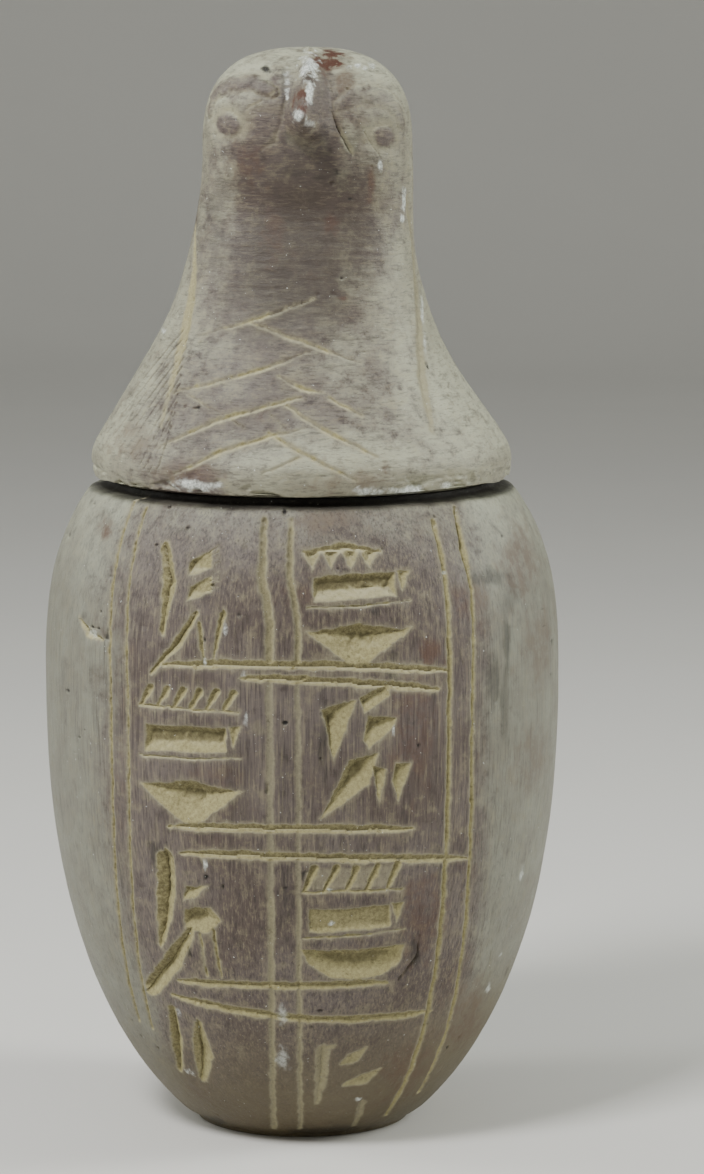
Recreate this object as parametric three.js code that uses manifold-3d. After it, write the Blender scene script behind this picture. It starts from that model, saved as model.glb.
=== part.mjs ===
// Canopic jar: a bored, egg-shaped stone vessel whose stopper is a carved falcon's head.
// Millimetres, +Z up, origin in the middle of the flat base. The carved front faces -Y.

import * as THREE from 'three';
import { mergeVertices } from 'three/addons/utils/BufferGeometryUtils.js';
import Module from 'manifold-3d';

const wasm = await Module();
wasm.setup();

// ---- Driving dimensions ----------------------------------------------------------------

const HEIGHT = 240;
const RIM_HEIGHT = 145;
const LID_HEIGHT = HEIGHT - RIM_HEIGHT;

// Outside of the jar: two half-ovals that meet at its widest ring.
const JAR_RADIUS = 57.6;
const WIDEST_AT = 100;
const BELOW = { reach: 109.1, power: 2.304 };
const ABOVE = { reach: 64, power: 2.835 };

// Inside of the jar: a straight neck, then a bore that swells a little and ends in a round floor.
const MOUTH_RADIUS = 28;
const NECK_DEPTH = 10;
const BORE_SWELL = 6;
const FLOOR_THICKNESS = 19;
const FLOOR_ROUNDING = 14;

// Lid: skirt ring, head and wig, and the low plug that keeps it centred in the mouth.
const SKIRT_RADIUS = 47.05;
const SEAT_RADIUS = 45.8;
const SKIRT_ROUNDING = 5;
const FLARE_REACH = 36.9;
const FLARE_DROP = 9.4;
const HEAD = { side: 23.2, front: 21.5, back: 28 };
const FLARE = { side: 28.5, front: 30, back: 23.5 };
const CROWN = { from: 74, power: 2.6, flat: 0.125 };
const THROAT = { depth: 2.2, at: 61, reach: 9 };
const PLUG = { radius: 26.4, depth: 7, chamfer: 1.5 };

// Face: beak, eyes and brows, as heights above the rim.
const BEAK = { root: 94, tip: 80.5, chin: 71, reach: 31.5, halfWidth: 5.6 };
const EYE = { out: 17, up: 77, tilt: -1.3, radius: 3.4 };

// Carved panel on the jar's front. Angles are degrees to the right of the front.
const SIDE_LINES = [
  { angle: -46, spread: 16, top: 142, foot: 26 },
  { angle: -40.8, spread: 15, top: 141, foot: 27 },
  { angle: 33.2, spread: 6, top: 139, foot: 6 },
  { angle: 39.6, spread: 12, top: 141, foot: 12 },
];
const MIDDLE_LINES = [{ x: -6.8, top: 140 }, { x: -0.9, top: 138 }];
const ROW_LINES = [
  { z: 111, left: -29, right: 31, slope: -0.03, sag: 2.2 },
  { z: 107.8, left: -12, right: 28, slope: -0.05, sag: 2 },
  { z: 75.8, left: -28, right: 23, slope: -0.01, sag: 1.2 },
  { z: 69.4, left: -26, right: 35, slope: -0.02, sag: 1.3 },
  { z: 40.2, left: -26.5, right: 17, slope: 0, sag: 0.3 },
  { z: 32.4, left: -28, right: 27, slope: -0.07, sag: -1.6 },
];
const CELL_ROWS = [
  { z: 122, half: 12.6 },
  { z: 91, half: 14 },
  { z: 54.5, half: 13 },
  { z: 16.5, half: 11 },
];
const CELL_COLUMNS = [{ x: -24.5, half: 10.5 }, { x: 12, half: 10.5 }];

// Fineness of the solids. Facets flatter than the tolerance are merged.
const JAR_SEGMENTS = 48;
const LID_SEGMENTS = 36;
const STATION_SPACING = 8;
const MERGE_TOLERANCE = 0.06;

// ---- Solids ----------------------------------------------------------------------------

function toSolid(geometry) {
  const bare = geometry.clone();
  bare.deleteAttribute('normal');
  bare.deleteAttribute('uv');
  const merged = mergeVertices(bare, 1e-4);
  const corners = merged.index.array;
  const kept = [];
  for (let i = 0; i < corners.length; i += 3) {
    const [a, b, c] = [corners[i], corners[i + 1], corners[i + 2]];
    if (a !== b && b !== c && c !== a) kept.push(a, b, c);
  }
  return new wasm.Manifold(new wasm.Mesh({
    numProp: 3,
    vertProperties: merged.attributes.position.array,
    triVerts: Uint32Array.from(kept),
  }));
}

function toGeometry(solid) {
  const mesh = solid.simplify(MERGE_TOLERANCE).getMesh();
  const geometry = new THREE.BufferGeometry();
  geometry.setAttribute('position', new THREE.BufferAttribute(mesh.vertProperties, 3));
  geometry.setIndex(new THREE.BufferAttribute(mesh.triVerts, 1));
  geometry.computeVertexNormals();
  return geometry;
}

// A closed solid through rings of points. Every ring has the same count and its ends are flat.
function loft(rings) {
  const count = rings[0].length;
  const last = (rings.length - 1) * count;
  const triangles = [];
  for (let level = 0; level + 1 < rings.length; level += 1) {
    for (let i = 0; i < count; i += 1) {
      const a = level * count + i;
      const b = level * count + (i + 1) % count;
      triangles.push(a, b, b + count, a, b + count, a + count);
    }
  }
  for (let i = 1; i + 1 < count; i += 1) {
    triangles.push(0, i + 1, i, last, last + i, last + i + 1);
  }
  const points = rings.flat();
  if (signedVolume(points, triangles) < 0) triangles.reverse();
  const geometry = new THREE.BufferGeometry().setFromPoints(points);
  geometry.setIndex(triangles);
  return geometry;
}

function signedVolume(points, triangles) {
  let sum = 0;
  for (let i = 0; i < triangles.length; i += 3) {
    const [a, b, c] = [points[triangles[i]], points[triangles[i + 1]], points[triangles[i + 2]]];
    sum += a.dot(b.clone().cross(c));
  }
  return sum / 6;
}

// ---- Surfaces that take carving --------------------------------------------------------

function jarRadius(z) {
  const side = z < WIDEST_AT ? BELOW : ABOVE;
  const along = Math.abs(z - WIDEST_AT) / side.reach;
  return JAR_RADIUS * Math.sqrt(1 - along ** side.power);
}

// The front of a surface, as a point and an outward normal for a place (x, z) on it.
function frontOf(depthAt) {
  const point = (x, z) => new THREE.Vector3(x, -depthAt(x, z), z);
  const normal = (x, z) => {
    const step = 0.2;
    const acrossSlope = (depthAt(x + step, z) - depthAt(x - step, z)) / (2 * step);
    const upSlope = (depthAt(x, z + step) - depthAt(x, z - step)) / (2 * step);
    return new THREE.Vector3(-acrossSlope, -1, -upSlope).normalize();
  };
  return { point, normal };
}

const jarFront = frontOf((x, z) => Math.sqrt(Math.max(jarRadius(z) ** 2 - x ** 2, 0)));

function flare(h) {
  return Math.exp(-(((h + FLARE_DROP) / FLARE_REACH) ** 2));
}

function crownScale(h) {
  const along = THREE.MathUtils.clamp((h - CROWN.from) / (LID_HEIGHT - CROWN.from), 0, 1);
  return Math.max((1 - along ** CROWN.power) ** (1 / CROWN.power), CROWN.flat);
}

function skirtLimit(h) {
  const along = Math.min(h / SKIRT_ROUNDING, 1);
  return SEAT_RADIUS + (SKIRT_RADIUS - SEAT_RADIUS) * Math.sqrt(1 - (1 - along) ** 2);
}

// Half-widths, squareness and sideways lean of the lid at a height above the rim.
function lidSection(h) {
  const reach = (side) => Math.min((HEAD[side] + FLARE[side] * flare(h)) * crownScale(h), skirtLimit(h));
  const hollow = THROAT.depth * Math.exp(-(((h - THROAT.at) / THROAT.reach) ** 2));
  const lean = 1.3 * THREE.MathUtils.smoothstep(h, 45, 70) - 0.9 * Math.exp(-(((h - 25) / 13) ** 2));
  const power = 2 + 0.7 * THREE.MathUtils.smoothstep(h, 8, 62);
  return { side: reach('side'), front: reach('front') - hollow, back: reach('back'), lean, power };
}

function lidDepth(x, z) {
  const section = lidSection(z - RIM_HEIGHT);
  const across = Math.min(Math.abs(x - section.lean) / section.side, 1);
  return section.front * (1 - across ** section.power) ** (1 / section.power);
}

const lidFront = frontOf(lidDepth);

// ---- Carving tools ---------------------------------------------------------------------

// Places at even steps along a path of corners.
function stationsAlong(path) {
  const stations = [path[0]];
  for (let i = 0; i + 1 < path.length; i += 1) {
    const [from, to] = [path[i], path[i + 1]];
    const steps = Math.max(1, Math.round(Math.hypot(to[0] - from[0], to[1] - from[1]) / STATION_SPACING));
    for (let step = 1; step <= steps; step += 1) {
      const share = step / steps;
      stations.push([THREE.MathUtils.lerp(from[0], to[0], share), THREE.MathUtils.lerp(from[1], to[1], share)]);
    }
  }
  return stations;
}

// A V-shaped cut along a path on a surface, shallower at both ends.
function groove(surface, path, width, depth) {
  const stations = stationsAlong(path);
  const last = stations.length - 1;
  const lift = 0.8;
  const rings = stations.map(([x, z], i) => {
    const ahead = surface.point(...stations[Math.min(i + 1, last)]);
    const behind = surface.point(...stations[Math.max(i - 1, 0)]);
    const out = surface.normal(x, z);
    const across = ahead.sub(behind).cross(out).normalize();
    const taper = i === 0 || i === last ? 0.35 : 1;
    const centre = surface.point(x, z);
    const half = (width / 2) * taper * (1 + lift / depth);
    const top = centre.clone().addScaledVector(out, lift);
    return [
      top.clone().addScaledVector(across, half),
      top.clone().addScaledVector(across, -half),
      centre.clone().addScaledVector(out, -depth * taper),
    ];
  });
  return toSolid(loft(rings));
}

// A scoop whose mouth is an outline on a surface and whose bottom is smaller and deeper.
function scoop(surface, outline, depth) {
  const middle = outline.reduce((sum, [x, z]) => [sum[0] + x / outline.length, sum[1] + z / outline.length], [0, 0]);
  const level = (share, offset) => outline.map(([x, z]) => {
    const [px, pz] = [THREE.MathUtils.lerp(middle[0], x, share), THREE.MathUtils.lerp(middle[1], z, share)];
    return surface.point(px, pz).addScaledVector(surface.normal(px, pz), offset);
  });
  return toSolid(loft([level(1.15, 0.8), level(0.45, -depth)]));
}

// ---- The jar's panel -------------------------------------------------------------------

function sideLine({ angle, spread, top, foot }) {
  const path = [];
  for (let step = 0; step <= 8; step += 1) {
    const z = THREE.MathUtils.lerp(top, foot, step / 8);
    const turn = angle + Math.sign(angle) * spread * ((z - 95) / 95) ** 2;
    path.push([jarRadius(z) * Math.sin(THREE.MathUtils.degToRad(turn)), z]);
  }
  return groove(jarFront, path, 1.3, 0.7);
}

function middleLine({ x, top }) {
  return groove(jarFront, [[x - 1.6, top], [x, 118], [x, 60], [x + 0.3, 3]], 2.3, 1.1);
}

function rowLine({ z, left, right, slope, sag }) {
  const path = [];
  for (let step = 0; step <= 4; step += 1) {
    const x = THREE.MathUtils.lerp(left, right, step / 4);
    path.push([x, z + slope * x - sag * (x / 30) ** 2]);
  }
  return groove(jarFront, path, 2, 1.1);
}

// The motifs are plain strokes, placed by shares of their cell's half-width and half-height.
function placer(column, row) {
  const halfWidth = Math.min(column.half, jarRadius(row.z) * 0.25);
  return (u, v) => [column.x + u * halfWidth, row.z + v * row.half];
}

function stack(at) {
  const cuts = [];
  for (let tick = 0; tick < 5; tick += 1) {
    const u = -0.88 + 0.38 * tick;
    cuts.push(groove(jarFront, [at(u, 0.72), at(u + 0.18, 0.98)], 1.6, 1));
  }
  cuts.push(groove(jarFront, [at(-0.95, 0.62), at(0.95, 0.62)], 1.1, 0.7));
  cuts.push(groove(jarFront, [at(-0.95, 0.22), at(0.95, 0.26)], 4.2, 1.8));
  cuts.push(groove(jarFront, [at(-0.95, -0.08), at(0.95, -0.04)], 1.1, 0.7));
  cuts.push(scoop(jarFront, [at(-1.05, -0.45), at(-0.4, -0.92), at(0.25, -0.98), at(1.05, -0.45)], 2.2));
  return cuts;
}

function cluster(at) {
  return [
    groove(jarFront, [at(-0.5, 0.95), at(-0.48, 0.4), at(-0.62, -0.25)], 3, 1.7),
    groove(jarFront, [at(0.62, 1), at(0.05, 0.66)], 2.6, 1.4),
    groove(jarFront, [at(0.8, 0.62), at(0.15, 0.22)], 3, 1.6),
    groove(jarFront, [at(0.2, 0.02), at(-0.3, -0.5), at(-0.95, -0.98)], 3.2, 1.7),
    groove(jarFront, [at(0.3, -0.12), at(0.42, -0.78)], 1.9, 1.1),
    groove(jarFront, [at(0.85, -0.1), at(0.78, -0.75)], 1.9, 1.1),
  ];
}

function uprights(at) {
  return [
    groove(jarFront, [at(-0.5, 1), at(-0.2, 0.1), at(-0.3, -0.6)], 3, 1.5),
    groove(jarFront, [at(0.25, 0.95), at(0.3, 0.2), at(0.35, -0.6)], 2.6, 1.3),
  ];
}

const MOTIFS = [
  [cluster, stack],
  [stack, cluster],
  [cluster, stack],
  [uprights, cluster],
];

function panelCuts() {
  const cuts = [...SIDE_LINES.map(sideLine), ...MIDDLE_LINES.map(middleLine), ...ROW_LINES.map(rowLine)];
  CELL_ROWS.forEach((row, rowIndex) => {
    CELL_COLUMNS.forEach((column, columnIndex) => {
      cuts.push(...MOTIFS[rowIndex][columnIndex](placer(column, row)));
    });
  });
  return cuts;
}

// ---- Pieces ----------------------------------------------------------------------------

// Heights of the bore's rings, from the neck's foot down the swell and round into the floor.
function boreHeights() {
  const neckFoot = RIM_HEIGHT - NECK_DEPTH;
  const heights = [];
  for (let ring = 0; ring <= 5; ring += 1) {
    heights.push(THREE.MathUtils.lerp(neckFoot, FLOOR_THICKNESS + FLOOR_ROUNDING, ring / 5));
  }
  for (let ring = 1; ring <= 4; ring += 1) {
    heights.push(FLOOR_THICKNESS + FLOOR_ROUNDING * (1 - Math.sin((Math.PI / 2) * (ring / 4))));
  }
  return heights;
}

function boreRadius(z) {
  const along = (z - FLOOR_THICKNESS) / (RIM_HEIGHT - NECK_DEPTH - FLOOR_THICKNESS);
  const swell = BORE_SWELL * Math.sin(Math.PI * along);
  const intoFloor = Math.max(1 - (z - FLOOR_THICKNESS) / FLOOR_ROUNDING, 0);
  return MOUTH_RADIUS + swell - FLOOR_ROUNDING * (1 - Math.sqrt(1 - intoFloor ** 2));
}

function jarBody() {
  const outerRings = 15;
  const profile = [new THREE.Vector2(0, 0)];
  for (let ring = 0; ring <= outerRings; ring += 1) {
    const z = RIM_HEIGHT * (1 - Math.cos(Math.PI * ring / outerRings)) / 2;
    profile.push(new THREE.Vector2(jarRadius(z), z));
  }
  profile.push(new THREE.Vector2(MOUTH_RADIUS, RIM_HEIGHT));
  boreHeights().forEach((z) => profile.push(new THREE.Vector2(boreRadius(z), z)));
  profile.push(new THREE.Vector2(0, FLOOR_THICKNESS));
  return toSolid(new THREE.LatheGeometry(profile, JAR_SEGMENTS).rotateX(Math.PI / 2));
}

function jar() {
  const carved = panelCuts().reduce((solid, cut) => solid.subtract(cut), jarBody());
  return toGeometry(carved);
}

function lidRing(h) {
  const { side, front, back, lean, power } = lidSection(h);
  const ring = [];
  for (let i = 0; i < LID_SEGMENTS; i += 1) {
    const turn = (2 * Math.PI * i) / LID_SEGMENTS;
    const bend = (value) => Math.sign(value) * Math.abs(value) ** (2 / power);
    const depth = Math.sin(turn) < 0 ? front : back;
    ring.push(new THREE.Vector3(lean + side * bend(Math.cos(turn)), depth * bend(Math.sin(turn)), RIM_HEIGHT + h));
  }
  return ring;
}

function lidBody() {
  const heights = [0, 1, 2.5];
  for (let h = SKIRT_ROUNDING; h < CROWN.from - 4; h += 7.6) heights.push(h);
  for (let step = 0; step <= 6; step += 1) {
    heights.push(CROWN.from + (LID_HEIGHT - CROWN.from) * Math.sin((Math.PI / 2) * (step / 6)));
  }
  return toSolid(loft(heights.map(lidRing)));
}

function plug() {
  const { radius, depth, chamfer } = PLUG;
  const profile = [
    [0, -depth], [radius - chamfer, -depth], [radius, chamfer - depth], [radius, 3], [0, 3],
  ].map(([r, z]) => new THREE.Vector2(r, z));
  const turned = new THREE.LatheGeometry(profile, LID_SEGMENTS).rotateX(Math.PI / 2);
  return toSolid(turned.translate(0, 0, RIM_HEIGHT));
}

// Level slices of the beak, from the root on the forehead down to the chin.
function beak() {
  const { root, tip, chin, reach, halfWidth } = BEAK;
  const slices = [];
  const sliceAt = (h, ridge, width) => {
    const lean = lidSection(h).lean - 0.6;
    const cheek = ridge * 0.72;
    slices.push([[0, ridge], [width * 0.7, cheek], [width, 6], [-width, 6], [-width * 0.7, cheek]]
      .map(([x, depth]) => new THREE.Vector3(lean + x, -depth, RIM_HEIGHT + h)));
  };
  for (let step = 0; step <= 5; step += 1) {
    const along = step / 5;
    const ridge = THREE.MathUtils.lerp(9, reach, Math.sin((Math.PI / 2) * along) ** 0.7);
    sliceAt(THREE.MathUtils.lerp(root, tip, along), ridge, halfWidth * (0.5 + 0.5 * along));
  }
  for (let step = 1; step <= 3; step += 1) {
    const along = step / 3;
    const ridge = THREE.MathUtils.lerp(reach, 19, Math.sqrt(along));
    sliceAt(THREE.MathUtils.lerp(tip, chin, along), ridge, halfWidth * (1 + 0.25 * along));
  }
  return toSolid(loft(slices));
}

function eyeRing(side) {
  const path = [];
  for (let step = 0; step <= 10; step += 1) {
    const turn = (2 * Math.PI * step) / 10;
    const x = 1 + side * EYE.out + EYE.radius * Math.cos(turn);
    path.push([x, RIM_HEIGHT + EYE.up + side * EYE.tilt + EYE.radius * Math.sin(turn)]);
  }
  return groove(lidFront, path, 1.3, 0.7);
}

function browLine(side) {
  const path = [[-4.2, 3], [-1.5, 7.5], [3.2, 9], [8.5, 7.8]].map(([inward, up]) => [
    1 + side * (EYE.out - inward),
    RIM_HEIGHT + EYE.up + side * EYE.tilt + up,
  ]);
  return groove(lidFront, path, 1.8, 0.8);
}

// Edge of the wig beside the throat, swinging outwards as it comes down.
function wigEdge(side) {
  const path = [];
  for (let step = 0; step <= 5; step += 1) {
    const h = THREE.MathUtils.lerp(52, 15, step / 5);
    path.push([side * (23.6 + 5.6 * ((52 - h) / 37) ** 2), RIM_HEIGHT + h]);
  }
  return groove(lidFront, path, 2.2, 1);
}

// Hatching on the breast: pairs of slanting strokes, each from its upper to its lower end.
const BREAST_STROKES = [
  [[2.4, 41], [-22.5, 33.1]],
  [[-11.5, 36.3], [12.6, 28]],
  [[2.4, 30.5], [-28, 21.1]],
  [[-5.1, 25.3], [12.5, 17.2]],
  [[-0.1, 21.1], [-30.5, 10.1]],
  [[-3.1, 19.2], [16.1, 8.7]],
  [[0.5, 14.6], [-28.9, 3.8]],
  [[-7.2, 13.7], [11.8, 3.8]],
];

function breastStroke(ends) {
  return groove(lidFront, ends.map(([x, h]) => [x, RIM_HEIGHT + h]), 1.7, 0.8);
}

function lid() {
  const cuts = [
    ...[-1, 1].flatMap((side) => [eyeRing(side), browLine(side), wigEdge(side)]),
    ...BREAST_STROKES.map(breastStroke),
  ];
  const whole = lidBody().add(plug()).add(beak());
  return toGeometry(cuts.reduce((solid, cut) => solid.subtract(cut), whole));
}

// ---- Scene -----------------------------------------------------------------------------

function stone(colour) {
  return new THREE.MeshStandardMaterial({ color: colour, roughness: 0.78, metalness: 0 });
}

function piece(name, geometry, material) {
  const mesh = new THREE.Mesh(geometry, material);
  mesh.name = name;
  return mesh;
}

const canopicJar = new THREE.Group();
canopicJar.add(piece('jar', jar(), stone(0x7c746a)));
canopicJar.add(piece('lid', lid(), stone(0x8d877a)));

export default canopicJar;
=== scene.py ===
"""Looks of the falcon-head canopic jar: two carved stone pieces with strokes, earth and wear."""

import math

import bpy
import numpy as np
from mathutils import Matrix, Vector


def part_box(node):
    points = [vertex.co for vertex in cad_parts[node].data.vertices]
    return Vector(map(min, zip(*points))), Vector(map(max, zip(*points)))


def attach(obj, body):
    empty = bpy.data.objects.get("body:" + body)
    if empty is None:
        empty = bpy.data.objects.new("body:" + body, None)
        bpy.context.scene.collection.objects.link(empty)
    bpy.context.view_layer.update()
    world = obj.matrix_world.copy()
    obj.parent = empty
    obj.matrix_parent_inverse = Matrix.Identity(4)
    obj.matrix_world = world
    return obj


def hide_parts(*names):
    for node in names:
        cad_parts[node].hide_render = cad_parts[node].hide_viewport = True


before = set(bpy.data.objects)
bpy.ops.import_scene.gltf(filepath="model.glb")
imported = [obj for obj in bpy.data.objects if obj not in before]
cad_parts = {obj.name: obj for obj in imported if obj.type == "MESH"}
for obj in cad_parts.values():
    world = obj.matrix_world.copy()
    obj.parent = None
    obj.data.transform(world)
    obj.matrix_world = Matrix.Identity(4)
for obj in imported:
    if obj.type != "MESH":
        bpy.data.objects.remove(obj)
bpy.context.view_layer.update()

# ---- Sizes, in millimetres, from the frame ----

MM = 0.001
_, JAR_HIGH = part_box("jar")
LID_LOW, LID_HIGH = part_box("lid")
RIM = JAR_HIGH.z / MM
TOP = LID_HIGH.z / MM
LID_HEIGHT = TOP - RIM
INSET = 0.04
JAR_RADIUS = JAR_HIGH.x / MM - INSET
SKIRT_RADIUS = LID_HIGH.x / MM - INSET
PLUG_DEPTH = RIM - LID_LOW.z / MM
WIDEST_AT = 0.69 * RIM
MOUTH_RADIUS = 28.0
PLUG_RADIUS = 26.4
PLUG_EDGE = 1.5
NECK_DEPTH = 10.0
BORE_SWELL = 6.0
FLOOR = 19.0
FLOOR_ROUNDING = 14.0
SEAT_RADIUS = 45.8
SKIRT_ROUNDING = 5.0
SKIN = 0.05  # the visual piece stays this far inside the plain flat faces
CROWN_START = 74.0
CROWN_POWER = 2.6
BELOW_WIDEST = (109.1, 2.304)  # height and power of the half-oval under the jar's widest ring
ABOVE_WIDEST = (64.0, 2.835)
NECK_AND_FLARE = ((23.2, 28.5), (21.5, 30.0), (28.0, 23.5))  # of the lid's side, front and back

TRIANGLES = 188000
PAINTED_LIGHT_FROM = (-0.5, -0.35, 0.79)  # direction of the painted light: cut walls that lean this way get the brightest earth colour, as painted light


# ---- Repeatable noise ----

def lattice(corner, seed):
    """A number from -1 to 1 that is always the same for a whole-number place."""
    mixed = np.full(len(corner), (seed * 974711 + 12345) & 0xFFFFFFFF, np.uint32)
    for axis, factor in enumerate((374761393, 668265263, 2246822519)):
        mixed = mixed ^ (corner[:, axis].astype(np.uint32) * np.uint32(factor))
        mixed = (mixed ^ (mixed >> np.uint32(15))) * np.uint32(2654435761)
    return (mixed ^ (mixed >> np.uint32(13))).astype(np.float64) / 2147483648.0 - 1.0


def noise(points, size, seed):
    """Smooth noise from -1 to 1 with lumps of a size in millimetres, or of one size per axis."""
    scaled = points / np.asarray(size, float)
    cell = np.floor(scaled)
    share = scaled - cell
    share = share * share * (3 - 2 * share)
    cell = cell.astype(np.int64)
    total = np.zeros(len(points))
    for corner in np.ndindex(2, 2, 2):
        weight = np.prod(np.where(np.array(corner) == 1, share, 1 - share), axis=1)
        total += weight * lattice(cell + np.array(corner), seed)
    return total


def layered(points, size, seed, layers=3):
    """Noise with finer, weaker layers on top."""
    size = np.asarray(size, float)
    parts = [noise(points, size / 2 ** k, seed + k) / 2 ** k for k in range(layers)]
    return sum(parts) / (2 - 0.5 ** (layers - 1))


def smooth(low, high, value):
    """0 below low, 1 above high, and an even curve between."""
    share = np.clip((value - low) / (high - low), 0, 1)
    return share * share * (3 - 2 * share)


def bump_at(value, centre, reach):
    """A bell of height 1 round a centre."""
    return np.exp(-(((value - centre) / reach) ** 2))


def raise_to(mask, values, chosen=slice(None)):
    """Raises a mask in place to some values."""
    mask[chosen] = np.maximum(mask[chosen], values)


# ---- Plain shapes of the two pieces ----

def jar_radius(z):
    """Radius of the jar's outside: two half-ovals that meet at its widest ring."""
    away = np.asarray(z, float) - WIDEST_AT
    below, above = (np.abs(away / reach) ** power for reach, power in (BELOW_WIDEST, ABOVE_WIDEST))
    return JAR_RADIUS * np.sqrt(np.clip(1 - np.where(away < 0, below, above), 0, 1))


def bore_radius(z):
    """Radius of the jar's inside below the neck."""
    along = (z - FLOOR) / (RIM - NECK_DEPTH - FLOOR)
    into_floor = np.clip(1 - (z - FLOOR) / FLOOR_ROUNDING, 0, 1)
    rounding = FLOOR_ROUNDING * (1 - np.sqrt(1 - into_floor ** 2))
    return MOUTH_RADIUS + BORE_SWELL * np.sin(math.pi * along) - rounding


def soft_least(first, second, blend=1.4):
    """The lesser of two lengths, rounded off where they cross."""
    overlap = np.clip(blend - np.abs(first - second), 0, None)
    return np.minimum(first, second) - overlap ** 2 / (4 * blend)


def lid_section(h):
    """Half-widths of the lid to its side, front and back, its sideways lean and its squareness."""
    h = np.asarray(h, float)
    flare = np.exp(-(((h + 9.4) / 36.9) ** 2))
    crown = np.clip((h - CROWN_START) / (LID_HEIGHT - CROWN_START), 0, 1)
    scale = np.maximum((1 - crown ** CROWN_POWER) ** (1 / CROWN_POWER), 0.02)
    edge = np.clip(h / SKIRT_ROUNDING, 0, 1)
    limit = SEAT_RADIUS + (SKIRT_RADIUS - SEAT_RADIUS) * np.sqrt(1 - (1 - edge) ** 2)
    halves = [soft_least((neck + growth * flare) * scale, limit) for neck, growth in NECK_AND_FLARE]
    side, front, back = halves
    throat = 2.2 * bump_at(h, 61, 9)
    lean = 1.3 * smooth(45, 70, h) - 0.9 * bump_at(h, 25, 13)
    power = 2 + 0.7 * smooth(8, 62, h)
    return side, front - throat, back, lean, power


def jar_front(x, z):
    """Point on the jar's front at a place (x, z)."""
    return np.array([x, -math.sqrt(max(float(jar_radius(z)) ** 2 - x * x, 0)), z])


def lid_front(x, z):
    """Point on the lid's front at a place (x, z)."""
    side, front, _, lean, power = (float(v) for v in lid_section(z - RIM))
    across = min(abs(x - lean) / side, 1)
    return np.array([x, -front * (1 - across ** power) ** (1 / power), z])


# ---- Cuts ----

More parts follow.
